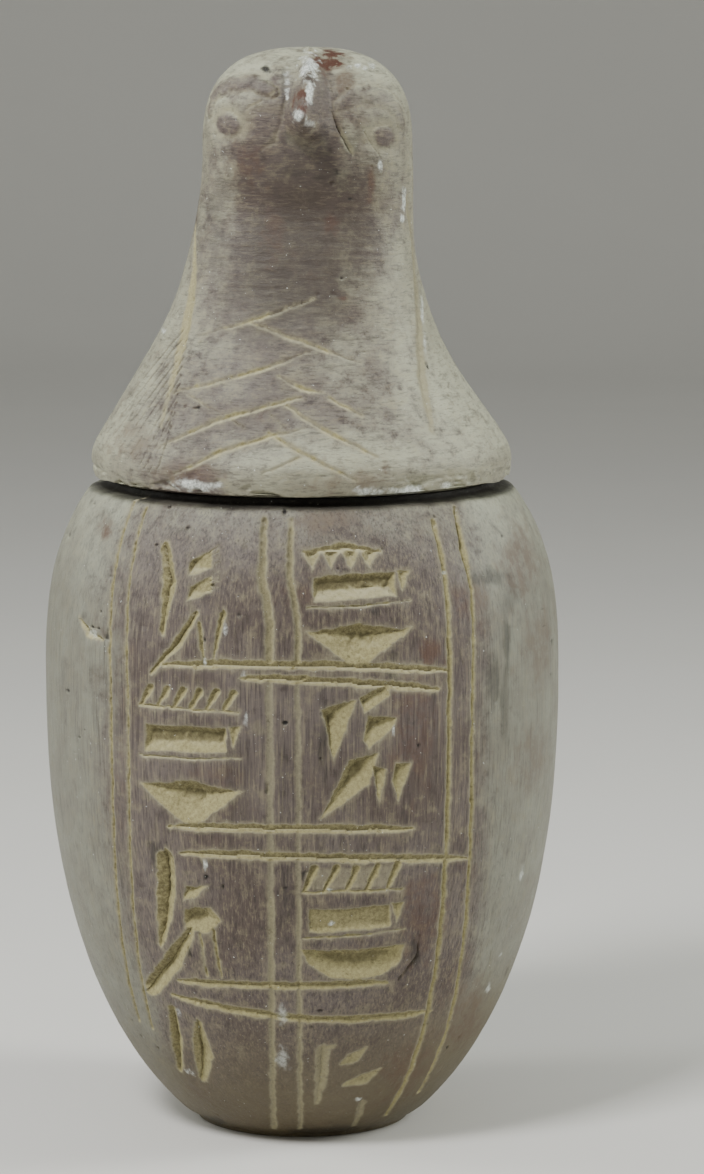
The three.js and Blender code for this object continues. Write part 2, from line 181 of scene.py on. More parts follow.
class Cuts:
    """Depth, earth and painted crease shade of all cuts, at points on a plain surface."""

    def __init__(self, points, place, seed):
        self.place = place
        self.depth, self.earth, self.crease, self.bare, self.relief = np.zeros((5, len(points)))
        wander = []
        for k in range(3):
            slow, quick = noise(points, 2.6, seed + k), noise(points, 0.8, seed + 5 + k)
            wander.append(slow * 0.22 + quick * 0.15)
        self.points = points + np.stack(wander, axis=1)
        self.grit = layered(points, 1.2, seed + 9)
        self.sand = noise(points, 0.65, seed + 15)
        self.front = points[:, 1] < 0

    def near(self, anchors, reach):
        """Indices of the front points inside the anchors' box, widened by reach."""
        low, high = anchors.min(0) - reach, anchors.max(0) + reach
        x, z = self.points[:, 0], self.points[:, 2]
        inside = self.front & (x > low[0]) & (x < high[0]) & (z > low[2]) & (z < high[2])
        return np.nonzero(inside)[0]

    def keep(self, chosen, depth, margin, deepest, earthy):
        """Takes the deeper cut, and earth where a point lies some margin inside its edge."""
        depth = depth + 0.07 * self.sand[chosen] * smooth(0.15, 0.6, depth)
        raise_to(self.depth, depth, chosen)
        margin = margin + 0.3 * self.grit[chosen]
        dust = 0.65 * smooth(-0.2, 0.6, margin) + 0.35 * smooth(-1.6, 0.2, margin)
        raise_to(self.earth, earthy * dust, chosen)
        # Painted shade: a share for darkening the deepest part of the cut, more in deep cuts
        raise_to(self.crease, smooth(0.72, 1.0, depth / deepest) * min(1.0, deepest / 1.2), chosen)

    def measure(self, path, above, below):
        """Points near a path of (x, z, half-width) places, the share of a half-width that each
        lies off it, and that half-width. It can differ above (or right of) and below the path."""
        fine = [path[0]]
        for start, end in zip(path, path[1:]):
            steps = max(1, round(math.dist(start[:2], end[:2]) / 2.5))
            for step in range(1, steps + 1):
                fine.append(tuple(a + (b - a) * step / steps for a, b in zip(start, end)))
        anchors = np.array([self.place(x, z) for x, z, _ in fine])
        widths = np.array([w for _, _, w in fine])
        chosen = self.near(anchors, 1.3 * widths.max() * max(above, below) + 1.2)
        spots = self.points[chosen]
        share = np.full(len(chosen), np.inf)
        half = np.full(len(chosen), widths[0])
        for k in range(len(anchors) - 1):
            along = anchors[k + 1] - anchors[k]
            offset = spots - anchors[k]
            t = np.clip(offset @ along / (along @ along), 0, 1)
            gap = offset - t[:, None] * along
            side = np.where(gap @ np.cross([0.0, -1.0, 0.0], along) > 0, above, below)
            width = (widths[k] + (widths[k + 1] - widths[k]) * t) * side
            share_here = np.linalg.norm(gap, axis=1) / width
            closer = share_here < share
            share = np.where(closer, share_here, share)
            half = np.where(closer, width, half)
        return chosen, share, half

    def stroke(self, path, slope, deepest=9.0, above=1.0, below=1.0, earthy=1.0):
        """A tapered V-shaped groove, flat where it reaches its deepest before its middle."""
        chosen, share, half = self.measure(path, above, below)
        if not len(chosen):
            return
        middle = slope * np.array([w for _, _, w in path]).max()
        floor = min(deepest, middle)
        inner = np.clip(1 - share, 0, 1)
        wall = 1.3 * inner ** 2 / (inner + 0.3)
        depth = np.minimum(middle * (half / half.max()) * wall, deepest)
        self.keep(chosen, depth * (1 + 0.2 * self.grit[chosen]), (1 - share) * half, floor, earthy)

    def chip(self, outline, slopes, deepest, earthy=1.0):
        """A facetted hollow: one sloping wall from each edge of a convex outline."""
        corners = np.array([self.place(x, z) for x, z in outline])
        chosen = self.near(corners, 1.2)
        if not len(chosen):
            return
        middle = corners.mean(0)
        normal = np.cross(corners[1] - corners[0], corners[2] - corners[0])
        normal /= np.linalg.norm(normal)
        spots = self.points[chosen] - middle
        inside = np.full(len(chosen), np.inf)
        depth = np.full(len(chosen), float(deepest))
        for k, slope in enumerate(slopes):
            start, end = corners[k] - middle, corners[(k + 1) % len(corners)] - middle
            inward = np.cross(normal, end - start)
            inward /= np.linalg.norm(inward)
            if inward @ start > 0:
                inward = -inward
            reach = (spots - start) @ inward
            inside = np.minimum(inside, reach)
            depth = np.minimum(depth, slope * reach)
        depth = np.clip(depth, 0, None)
        depth = depth ** 2 / (depth + 0.22)
        lowest = max(float(depth.max()), 0.3)
        self.keep(chosen, depth * (1 + 0.2 * self.grit[chosen]), inside, lowest, earthy)


def patches(points, places, size=1.8, base=0.0):
    """Ragged patches on the front: (x, height over base, half-width, half-height, strength)."""
    x, y, z = points.T
    ragged = 1 + 0.8 * layered(points, size, 301)
    total = np.zeros(len(points))
    for centre, height, wide, tall, strength in places:
        reach = np.hypot((x - centre) / wide, (z - base - height) / tall) * ragged
        total = np.maximum(total, strength * smooth(1.2, 0.5, reach))
    return total * (y < 0)


# ---- The jar's panel ----

SIDE_LINES = (  # angle round the jar, its spread at the ends, top, foot, half-width
    (-46, 16, 143, 27, 0.65),
    (-40.8, 15, 142, 26, 0.6),
    (33.2, 6, 140, 5, 0.85),
    (39.6, 12, 141, 10, 0.7),
)
MIDDLE_LINES = (  # x, lean of the top, half-width
    (-6.9, -1.7, 1.2),
    (-0.9, -1.9, 1),
)
ROW_LINES = (  # height, left end, right end, slope, sag
    (111, -30, 31, -0.02, 1.6),
    (107.8, -13, 29, -0.05, 1.6),
    (75.8, -28.5, 23.5, -0.01, 1.2),
    (69.6, -26, 35.5, -0.03, 1.3),
    (40.2, -27, 18, 0.01, 0.3),
    (32.4, -28.5, 28, -0.07, -1.6),
)
CELL_HALF = 11.0


def cell_places(x, z, half):
    """A function from shares of a cell's half-width and half-height to a place."""
    width = min(CELL_HALF, 0.22 * float(jar_radius(z)))
    return lambda u, v, *cut: (x + u * width, z + v * half, *cut)


def side_line(cuts, angle, spread, top, foot, half):
    """A long line beside the panel, at an angle round the jar that spreads towards its ends."""
    path = []
    for z in np.linspace(top, foot, 40):
        turn = math.radians(angle + math.copysign(spread, angle) * ((z - 95) / 95) ** 2)
        path.append((float(jar_radius(z)) * math.sin(turn), z, half))
    cuts.stroke(path, 0.75)


def middle_line(cuts, x, lean, half):
    """A line between the columns of cells, worn below the first row line."""
    high = [(x + 0.7 * lean, RIM - 4, 0.8 * half), (x + lean, 130, 1.1 * half), (x, 120, half)]
    cuts.stroke([*high, (x - 0.1, 112, half)], 0.7, deepest=0.5, earthy=0.78)
    cuts.stroke([(x - 0.1, 108, 0.9 * half), (x, 60, 0.85 * half)], 0.5, deepest=0.3, earthy=0.6)
    cuts.stroke([(x, 60, 0.85 * half), (x + 0.3, 3, 0.75 * half)], 0.5, deepest=0.3, earthy=0.7)


def row_line(cuts, z, left, right, slope, sag):
    """A sagging line across the panel under a row of cells."""
    path = []
    for x in np.linspace(left, right, 16):
        fade = smooth(0, 6, x - left) * smooth(0, 6, right - x)
        path.append((x, z - 0.3 + slope * x - sag * (x / 30) ** 2, 0.45 + 0.4 * float(fade)))
    cuts.stroke(path, 0.75, above=1.9, below=0.9)


def tick_row(cuts, at, count, lean, tall, wide):
    """A row of short slanting strokes over a thin line."""
    for k in range(count):
        u = -0.9 + 1.62 * k / (count - 1)
        cuts.stroke([at(u + lean, 0.96, wide), at(u - 0.06, 0.96 - tall, 0.65 * wide)], 0.8)
    cuts.stroke([at(-1, 0.94 - tall, 0.55), at(0.95, 0.92 - tall, 0.5)], 0.8)


def notch_row(cuts, at, count):
    """A row of short chips hanging from one shallow curve."""
    for k in range(count):
        u = -1.1 + 1.5 * k / count
        cuts.chip([at(u - 0.03, 0.96), at(u + 0.43, 0.98), at(u + 0.19, 0.64)], (1, 0.6, 0.6), 1)
    cuts.stroke([at(-1.08, 0.92, 0.5), at(-0.35, 1, 1.3), at(0.42, 0.92, 0.5)], 0.7)


def bar_and_hollow(cuts, at, high, bowl, blunt, bar_depth=1.6):
    """A wide bar with a wedge at its end, a thin line, and a broad hollow below."""
    bar = [at(-0.9, high), at(0.72, high + 0.04), at(0.74, high - 0.36), at(-0.9, high - 0.42)]
    cuts.chip(bar, (1.1, 1.3, 0.6, 1.3), bar_depth)
    wedge = [at(0.7, high + 0.06), at(1.02, high + 0.06), at(0.84, high - 0.32)]
    cuts.chip(wedge, (1, 0.6, 0.6), 1.1)
    line = high - 0.47
    cuts.stroke([at(-1, line - 0.02, 0.45), at(0, line, 0.5), at(1, line + 0.05, 0.3)], 1)
    foot = bowl - 0.58
    if blunt:
        outline = [at(-1.1, bowl), at(1.05, bowl), at(0.92, foot + 0.26), at(0.55, foot + 0.06),
                   at(0, foot), at(-0.5, foot + 0.08), at(-0.9, foot + 0.3)]
        cuts.chip(outline, (1.5, 0.7, 0.5, 0.45, 0.45, 0.5, 0.7), 2.1)
    else:
        outline = [at(-1.05, bowl), at(0, bowl + 0.14), at(1.08, bowl),
                   at(0.12, foot), at(-0.12, foot)]
        cuts.chip(outline, (1.1, 1.1, 0.5, 0.4, 0.45), 2.3)


def stack_notched(cuts, at):
    notch_row(cuts, at, 4)
    bar_and_hollow(cuts, at, high=0.57, bowl=-0.27, blunt=False)


def stack_ticked(cuts, at):
    tick_row(cuts, at, count=6, lean=0.12, tall=0.25, wide=1.15)
    bar_and_hollow(cuts, at, high=0.42, bowl=-0.48, blunt=False)


def stack_low(cuts, at):
    band = [at(-0.85, 1), at(0.85, 1.02), at(0.8, 0.62), at(-0.85, 0.6)]
    cuts.chip(band, (0.5, 0.3, 0.3, 0.5), 0.35, earthy=0.5)
    tick_row(cuts, at, count=5, lean=0.14, tall=0.36, wide=1.2)
    bar_and_hollow(cuts, at, high=0.3, bowl=-0.38, blunt=True, bar_depth=0.6)


def legs(cuts, at, half):
    """A long slanting gouge and two short ones beside it."""
    long_leg = [at(0.14, -0.06, 0.7 * half), at(-0.2, -0.5, half), at(-0.72, -1.02, 0.5 * half)]
    cuts.stroke(long_leg, 0.85, above=1.3, below=0.7)
    cuts.stroke([at(0.22, -0.2, 0.5 * half), at(0.32, -0.8, 0.45 * half)], 0.9)
    short_leg = [at(0.66, -0.05, 0.8 * half), at(0.5, -0.72, 0.4 * half)]
    cuts.stroke(short_leg, 0.9, above=1.3, below=0.7)


def gouges_fanned(cuts, at):
    """An upright gouge, two fans of scratches and slanting legs."""
    cuts.stroke([at(-0.46, 0.92, 1.4), at(-0.38, 0.4, 1.9), at(-0.5, -0.36, 0.9)],
                0.7, above=1.2, below=0.8)
    for low, high in ((0, 0.62), (-0.04, 0.24)):
        fan = [at(0.02, high + 0.12), at(0.5, high + 0.34), at(0.5, high + 0.04),
               at(low, high - 0.14)]
        cuts.chip(fan, (1.5, 0.25, 0.5, 1.2), 1.5)
        for k in range(4):
            start = at(0.2, high + 0.02 + 0.05 * k, 0.35)
            cuts.stroke([start, at(0.62, high + 0.14 + 0.08 * k, 0.2)], 1.2)
    legs(cuts, at, 1.35)


def gouges_broad(cuts, at):
    """Broad three-sided gouges, steep on their left, over slanting legs."""
    cuts.chip([at(-0.75, 0.74), at(0, 0.9), at(-0.5, -0.06)], (0.8, 0.45, 1.6), 1.8)
    cuts.chip([at(-0.04, 0.92), at(0.68, 1.14), at(0.6, 0.9), at(0.1, 0.62)],
              (0.8, 0.6, 0.6, 1.4), 1.5)
    cuts.chip([at(0.16, 0.64), at(0.76, 0.58), at(0.7, 0.44), at(0.2, 0.1), at(0.08, 0.26)],
              (1.2, 0.8, 0.5, 0.8, 1.4), 1.8)
    cuts.chip([at(0.42, 0.1), at(0.22, -0.4), at(-0.8, -0.94), at(-0.2, -0.02)],
              (0.6, 0.55, 0.9, 1.3), 1.7)
    cuts.chip([at(0.24, -0.1), at(0.58, -0.16), at(0.4, -0.76)], (0.8, 0.5, 1.2), 1.3)
    cuts.chip([at(0.7, -0.1), at(1.06, -0.1), at(0.76, -0.72), at(0.64, -0.36)],
              (0.8, 0.5, 1.2, 1.2), 1.4)


def gouges_deep(cuts, at):
    """One deep upright gouge beside hooked cuts and thin legs."""
    cuts.stroke([at(-0.5, 1, 2.5), at(-0.47, 0.5, 2.5), at(-0.54, -0.1, 2), at(-0.58, -0.5, 0.9)],
                0.8, above=1.2, below=0.9)
    cuts.chip([at(-0.08, 0.58), at(0.42, 0.62), at(0.1, 0.36), at(-0.12, 0.3)],
              (1.3, 0.5, 0.6, 1.3), 1.4)
    cuts.chip([at(-0.1, 0.2), at(0.45, 0.26), at(0.66, 0), at(0.34, -0.26), at(-0.12, -0.2)],
              (1, 0.45, 0.4, 0.5, 1.2), 1.6)
    cuts.stroke([at(0, -0.2, 1.2), at(-0.36, -0.72, 2.5), at(-0.82, -1.35, 2)],
                0.7, above=1.3, below=0.8)
    cuts.stroke([at(0.2, -0.26, 0.55), at(0.34, -0.98, 0.5)], 0.9)
    cuts.stroke([at(0.46, -0.18, 0.65), at(0.62, -0.98, 0.55)], 0.9)


def gouges_upright(cuts, at):
    """Two tall gouges side by side."""
    cuts.stroke([at(-0.6, 1.02, 1.3), at(-0.5, 0.4, 1.9), at(-0.44, -0.3, 1)],
                0.85, above=1.1, below=0.9)
    cuts.stroke([at(0.02, 0.8, 1.4), at(0.08, 0.2, 2.8), at(0.1, -0.38, 1.2)],
                0.6, above=1.3, below=0.7, earthy=0.9)


def gouges_worn(cuts, at):
    """Shallow, worn gouges near the foot."""
    cuts.stroke([at(-0.98, 0.64, 1.7), at(-1.02, 0.1, 1.5), at(-1.12, -0.4, 0.7)],
                0.6, above=1.2, earthy=0.7)
    cuts.stroke([at(-0.98, 0.64, 1.2), at(-0.66, 0.7, 0.8)], 0.6, earthy=0.7)
    leaves = ([at(-0.5, 0.36, 0.7), at(-0.2, 0.46, 2), at(0.16, 0.64, 0.6)],
              [at(-0.42, -0.06, 0.8), at(0.08, 0.04, 2.2), at(0.52, 0.2, 0.6)])
    for leaf in leaves:
        cuts.stroke(leaf, 0.5, above=0.8, earthy=0.8)
    cuts.stroke([at(0.06, -0.46, 1.1), at(-0.1, -0.95, 0.8)], 0.5, above=1.2, earthy=0.6)


CELLS = (
    (-24.5, 122, 13.5, gouges_fanned),
    (12, 122, 13.5, stack_notched),
    (-24, 91, 14.5, stack_ticked),
    (12, 91, 14.5, gouges_broad),
    (-24.5, 54.5, 13, gouges_deep),
    (11, 54, 13.5, stack_low),
    (-23.5, 20, 12, gouges_upright),
    (12.5, 16, 13.5, gouges_worn),
)


def carve_panel(cuts):
    kinds = ((side_line, SIDE_LINES), (middle_line, MIDDLE_LINES), (row_line, ROW_LINES))
    for carve, lines in kinds:
        for line in lines:
            carve(cuts, *line)
    for x, z, half, motif in CELLS:
        motif(cuts, cell_places(x, z, half))
    cuts.stroke([(-48.5, 117.5, 0.5), (-46.5, 114.6, 1.3), (-43.2, 113.6, 0.5)], 0.8)
    cuts.stroke([(33, RIM - 3, 0.7), (34.4, 134, 1), (36, 127, 0.5)], 1.3)
    cuts.stroke([(25.2, 50.5, 0.3), (25, 45.5, 0.6), (20.8, 40.5, 0.4)], 1.3, earthy=0.3)
    for k in range(7):
        x = 28.0 + 2.3 * k
        cuts.stroke([(x, 86.0 - 5.0 * k, 0.16), (x - 0.6, 70.0 - 5.5 * k, 0.22)], 0.9, earthy=0.4)


JAR_RUST = (
    (-42.7, 136.4, 1.6, 2.2, 1), (27.1, 112.2, 2.6, 4, 0.9), (23.9, 96, 5, 13, 0.55),
    (36, 123, 5, 4, 0.6), (6, 141, 9, 3, 0.6), (47.3, 129, 5, 8, 0.7), (52, 111, 3.5, 9, 0.5),
    (49.6, 86, 5, 9, 0.4), (26, 56, 5, 9, 0.6), (23.5, 18, 6, 8, 0.5), (36, 30, 5, 12, 0.5),
    (-20, 84, 6, 6, 0.35),
)
JAR_GRIME = (
    (19.4, 112.3, 1.5, 1.2, 1), (19.4, 108.7, 1.3, 1.3, 1), (15.6, 122.4, 1.6, 1.3, 0.8),
    (4.4, 94, 0.9, 8, 0.8), (40.3, 127, 4.5, 1.4, 0.9), (41.4, 105.6, 2, 5.5, 0.7),
    (44.3, 113, 0.9, 6, 0.9), (43.7, 100, 1, 9, 0.7), (45, 122, 2.5, 3.5, 0.5),
    (-13.5, 87, 3.5, 12, 0.3), (-31.5, 68.5, 1.7, 3.2, 1), (-4, 60, 1.6, 9, 0.4),
    (-4.2, 88, 1.4, 9, 0.35), (24.4, 46, 1.2, 4, 0.8), (5, 2, 9, 2, 0.8), (-20, 2.5, 3, 1.6, 0.9),
    (30, 64, 1, 6, 0.5),
)
# Pale chips and drips, and painted highlights such as the glint on the upright gouges low at the
# left
JAR_CHIPS_AND_HIGHLIGHTS = (
    (-11.9, 99.5, 0.42, 0.78, 1), (-20.8, 111, 0.42, 0.84, 1), (-16.5, 118, 0.36, 1.32, 0.9),
    (-20.8, 67.2, 0.54, 0.48, 1), (-12.5, 109, 0.48, 0.48, 0.7), (5.8, 62.3, 0.54, 0.3, 1),
    (6.2, 54.4, 0.6, 0.42, 1), (19.4, 97.4, 0.3, 0.3, 1), (-25.3, 16.4, 0.96, 0.48, 1),
    (12.3, 10.8, 0.54, 0.54, 1), (-4.4, 33.5, 0.9, 1.8, 0.5), (-4.6, 22.5, 1.4, 2.6, 0.5),
    (-27.6, 32, 0.96, 0.96, 0.8), (48.4, 59, 0.36, 1.8, 0.9), (43.7, 41.7, 0.42, 0.54, 0.9),
    (41.1, 33.8, 0.36, 1.44, 0.8), (-45.5, 114.6, 1.08, 0.84, 0.7), (30.5, 129, 0.6, 0.3, 0.9),
)


# ---- The lid's face and breast ----

FACE_X = 1.0
EYE_OUT = 17.0
EYE_UP = 77.0
EYE_TILT = -1.3
BREAST_STROKES = (
    ((2.6, 41.2, 0.3), (-9.1, 37.1, 0.7), (-22.5, 33.1, 0.25)),
    ((-11.5, 36.3, 0.5), (1.7, 31.7, 0.8), (12.8, 27.8, 0.25)),
    ((2.4, 30.5, 0.3), (-9.1, 26.4, 0.8), (-28, 21.1, 0.5)),
    ((-5.1, 25.3, 0.4), (-0.1, 22.8, 0.8), (4.1, 21.9, 0.4)),
    ((5.9, 20.7, 0.6), (12.8, 17, 0.5)),
    ((-0.1, 21.1, 0.6), (-18.7, 16, 1), (-30.5, 10.1, 0.4)),
    ((-3.1, 19.2, 0.6), (5.3, 14, 0.9), (16.1, 8.7, 0.5)),
    ((0.5, 14.6, 0.4), (-6.6, 13.2, 0.7), (-17.5, 9.8, 0.9), (-28.9, 3.8, 0.4)),
    ((-7.2, 13.7, 0.6), (0.5, 9.6, 0.9), (11.8, 3.8, 0.4)),
    ((0.5, 9.3, 0.7), (-8.4, 5.6, 0.4)),
)


def lid_path(*places):
    """A path from (x, height over the rim, half-width) places."""
    return [(x, RIM + h, half) for x, h, half in places]


def face_path(side, *places):
    """A path from (distance outwards from an eye, height over the eye, half-width) places."""
    up = EYE_UP + side * EYE_TILT
    middle = FACE_X + side * EYE_OUT
    return lid_path(*((middle + side * out, up + over, half) for out, over, half in places))


def carve_eye(cuts, side, strength):
    """A raised disc in a hollow that points inwards, under a raised brow."""
    x, _, z = cuts.points.T
    out = side * (x - FACE_X) - EYE_OUT
    up = z - RIM - EYE_UP - side * EYE_TILT
    away = np.hypot(out, 1.06 * up)
    inward = np.arctan2(up + 0.1 * away, -out)
    reach = 4.4 + 2.2 * bump_at(inward, 0.1, 0.5) + 0.9 * bump_at(inward, 1.3, 0.6)
    share = np.where(cuts.front, away / reach, 9)
    hollow = smooth(1.25, 0.45, share)
    disc = smooth(3, 1.5, away + 0.3 * cuts.grit) * cuts.front
    cuts.relief += 0.6 * hollow - 0.4 * disc
    raise_to(cuts.earth, 0.5 * smooth(1.35, 0.5, share + 0.2 * cuts.grit) * (1 - disc))
    raise_to(cuts.bare, disc)
    brow = face_path(side, (4.2, 3, 0.9), (3.2, 6.3, 1.1), (0.4, 8.6, 1.2), (-2.8, 9.5, 1.3),
                     (-6.2, 9.1, 1.1), (-9.6, 7, 0.7))
    chosen, share, _ = cuts.measure(brow, 3, 2.6)
    share = share + 0.25 * cuts.grit[chosen]
    band = smooth(0.95, 0.15, share)
    beside = smooth(0.4, 0.8, share) * smooth(1.25, 0.75, share)
    cuts.relief[chosen] += strength * (0.3 * beside - 0.35 * band)
    raise_to(cuts.earth, 0.4 * beside, chosen)
    raise_to(cuts.bare, 0.8 * strength * band, chosen)
    inner_corner = np.hypot((out + 8) / 5, (up - 3) / 6) + 0.3 * cuts.grit
    raise_to(cuts.bare, 0.6 * strength * smooth(1.2, 0.5, inner_corner) * cuts.front)
    fold = face_path(side, (-3.4, 3.2, 0.4), (-7.2, 5.2, 0.6), (-10.8, 7.2, 0.4))
    cuts.stroke(fold, 0.4 * strength, earthy=0.6 * strength)


def carve_beak_lines(cuts):
    """The gape at the beak's right, the line at its left and a few fine wrinkles."""
    gape = lid_path((6.6, 81, 0.3), (8.2, 76.5, 0.8), (10.4, 72.3, 0.8))
    cuts.stroke(gape, 1.3, above=1.7, below=0.45, earthy=0.55)
    left = lid_path((-3.6, 84, 0.4), (-4.6, 78.5, 0.7), (-5.8, 74.6, 0.7), (-8.6, 72.9, 0.5))
    cuts.stroke(left, 0.35, above=1.5, below=1.2, earthy=0.35)
    cuts.stroke(lid_path((11.6, 80.4, 0.2), (14.6, 75.4, 0.35), (17.4, 71, 0.35)), 0.6, earthy=0.5)
    for k in range(6):
        x = 5 + 0.75 * k
        wrinkle = lid_path((x, 90.5 - 1.2 * k, 0.12), (x + 2.6, 82.5 - 0.9 * k, 0.2))
        cuts.stroke(wrinkle, 0.9, earthy=0.5)


def carve_breast(cuts):
    """Long lines down both sides, crossed strokes on the breast and scratches on the flare."""
    left = lid_path(
        (-23.6, 56, 0.5), (-23.9, 44, 1.1), (-25.4, 35, 1.3), (-27.4, 27, 0.9), (-30.6, 14, 0.4))
    right = lid_path((23.2, 62, 0.8), (24.6, 52, 1), (25.6, 38, 0.9), (26, 24, 1), (28.2, 13, 0.5))
    cuts.stroke(left, 0.35, above=1.6, below=1.6, earthy=0.8)
    cuts.stroke(right, 0.35, above=1.9, below=1.5, earthy=0.7)
    for path in BREAST_STROKES:
        cuts.stroke([(x, RIM + h, 1.1 * half) for x, h, half in path], 0.5)
    for k in range(12):
        top = (-24.6 - 0.3 * k, 36 - 1.9 * k, 0.45)
        foot = (-45 + 1.2 * k, 10.5 - 0.6 * k, 0.28)
        cuts.stroke(lid_path(top, foot), 1.1, earthy=0.35)
    for k in range(9):
        x = -19.5 + 0.9 * k
        h = 22.5 - 0.45 * k
        cuts.stroke(lid_path((x - 7.5, h - 0.5, 0.24), (x, h - 4, 0.34)), 0.7, earthy=0.9)
    for k in range(4):
        x = -5.4 + 0.9 * k
        h = 17.6 - 0.8 * k
        hook = lid_path((x - 1.6, h, 0.18), (x + 0.6, h - 1.4, 0.26), (x + 1.4, 13.4, 0.14))
        cuts.stroke(hook, 0.8)


LID_RUST = (
    (6.2, 92, 4.6, 2.6, 1.8), (9.2, 87.8, 2.4, 3, 0.8), (0.4, 83.8, 1.8, 2.6, 2),
    (17.9, 6, 0.9, 1, 1), (-37, 10, 5, 4, 0.6), (-11.5, 70.5, 4, 5, 0.45), (15, 66, 1.2, 4, 0.8),
    (6.5, 57, 2, 2.5, 0.6), (9, 41.2, 1, 0.7, 0.8), (10, 3, 9, 2.5, 0.5), (-24, 5, 8, 3, 0.5),
    (-6, 55, 3, 5, 0.4),
)
# Dark stains, and painted shade under the beak's tip: the first three patches
LID_GRIME_AND_SHADE = (
    (0.8, 72.5, 5, 4, 0.15), (-3.4, 75.6, 1.4, 2.6, 0.4), (4.6, 76.4, 1.4, 2.8, 0.4),
    (-1.5, 68.4, 3.5, 1.2, 0.4), (3.6, 67, 2, 0.7, 0.5), (7.6, 68.2, 0.5, 1, 1),
    (10.6, 73, 1.6, 1.6, 0.5), (-7.7, 90.2, 0.7, 0.7, 1.4), (-3.9, 86.5, 0.6, 4.5, 0.6),
    (14, 83.3, 2.6, 0.5, 0.4), (-19, 57, 2.5, 7, 0.25),
)
LID_SMEARS = (
    (-17.5, 62, 4.5, 8, 0.6), (-18.5, 50, 4.5, 9, 0.4), (10.5, 76, 2, 4, 0.8), (0.5, 75, 6, 3, 0.4),
    (12, 10, 12, 7, 0.6), (-6, 6, 10, 4, 0.4), (12, 45, 5, 3, 0.5),
)
LID_WORN = (
    (4.8, 84.5, 3.4, 7.5, 0.75), (-5.4, 84, 2.4, 6, 0.5), (-14, 86, 5, 1.8, 0.4),
    (-20, 18, 9, 6, 0.3),
)
# Pale chips on the skirt's edge, and painted highlights on the beak's ridge, tip and left edge and
# on the right of the neck
LID_CHIPS_AND_HIGHLIGHTS = (
    (1.5, 89.8, 1.8, 3.2, 1.4), (1.8, 85.8, 0.9, 2.8, 1.3), (-0.7, 80.6, 1.3, 1.3, 0.9),
    (-3.1, 86.8, 0.45, 3.2, 0.9), (1.9, 78.8, 1.6, 0.7, 0.4), (10.2, 90.6, 0.6, 0.5, 1),
    (13.8, 90.4, 0.5, 0.4, 0.9), (12.3, 90.9, 0.63, 0.45, 1), (15.4, 90.5, 0.63, 0.45, 1),
    (17, 69.6, 0.49, 1.12, 1), (22.3, 62, 0.49, 2.55, 1), (21.9, 57.6, 0.42, 0.9, 1),
    (26.3, 38, 0.35, 3, 0.8), (26.8, 31, 0.35, 1.5, 0.8), (-23, 2.4, 4.9, 1.12, 0.8),
    (14, 1.4, 2.8, 0.98, 0.9), (22, 1, 3.85, 1.2, 0.8), (31, 1.6, 1.4, 0.75, 0.7),
    (-30.5, 33, 0.49, 0.52, 0.9),
)


# ---- Relief of each surface ----

def jar_fields(points):
    """Depth below the plain jar, and the masks that colour it, for points on the plain surface."""
    cuts = Cuts(points, jar_front, seed=11)
    carve_panel(cuts)
    x, y, z = points.T
    waves = 0.14 * (1 + layered(points, 24, 31)) + 0.06 * (1 + layered(points, 5, 35))
    rasp = 0.035 * (1 + noise(points, (0.9, 0.9, 18), 41))
    rasp += 0.02 * (1 + noise(points, (0.5, 0.5, 7), 43))
    pits = 0.5 * smooth(0.7, 0.95, noise(points, 1.9, 51)) * smooth(0, 0.6, noise(points, 9, 53))
    foot = smooth(3.2, 0, z) * 0.55 * (1 + layered(points, 5, 61))
    rim = smooth(RIM - 3, RIM - 0.5, z) * 0.25 * (1 + layered(points, 4, 65))
    turn = np.degrees(np.arctan2(x, -y)) + 6 * layered(points, 16, 71)
    sides = smooth(36, 54, np.abs(turn + 1)) * (1 - 0.45 * smooth(80, 120, np.abs(turn)))
    # Painted shadow: a dark band on the jar just under the lid's edge
    seam_shadow = smooth(RIM - 3, RIM - 1.5, z + 0.5 * layered(points, 5, 77))
    dusty = 0.35 * smooth(RIM - 13, RIM - 4, z + 5 * layered(points, 9, 75))
    # plain_light: how far the plain surface faces the painted light direction, so that cut walls
    # can be painted lighter or darker than it
    slope = jar_radius(z + 0.5) - jar_radius(z - 0.5)
    round_about = (PAINTED_LIGHT_FROM[0] * x + PAINTED_LIGHT_FROM[1] * y) / np.maximum(np.hypot(x, y), 1)
    grime_and_shade = np.maximum(0.6 * patches(points, JAR_GRIME, 1.6), smooth(0.1, 0.4, pits))
    masks = {
        "plain_light": (round_about - PAINTED_LIGHT_FROM[2] * slope) / np.sqrt(1 + slope ** 2),
        "earth": cuts.earth,
        "crease": cuts.crease,
        "patina": np.maximum(sides, dusty),
        "soil": smooth(34, 6, z - 0.35 * np.clip(x, 0, 40) + 5 * layered(points, 14, 79)),
        "rust": patches(points, JAR_RUST),
        "grime_and_shade": np.maximum(grime_and_shade, seam_shadow),
        "chips_and_highlights": patches(points, JAR_CHIPS_AND_HIGHLIGHTS, 1),
    }
    return cuts.depth + waves + rasp + pits + foot + rim, masks


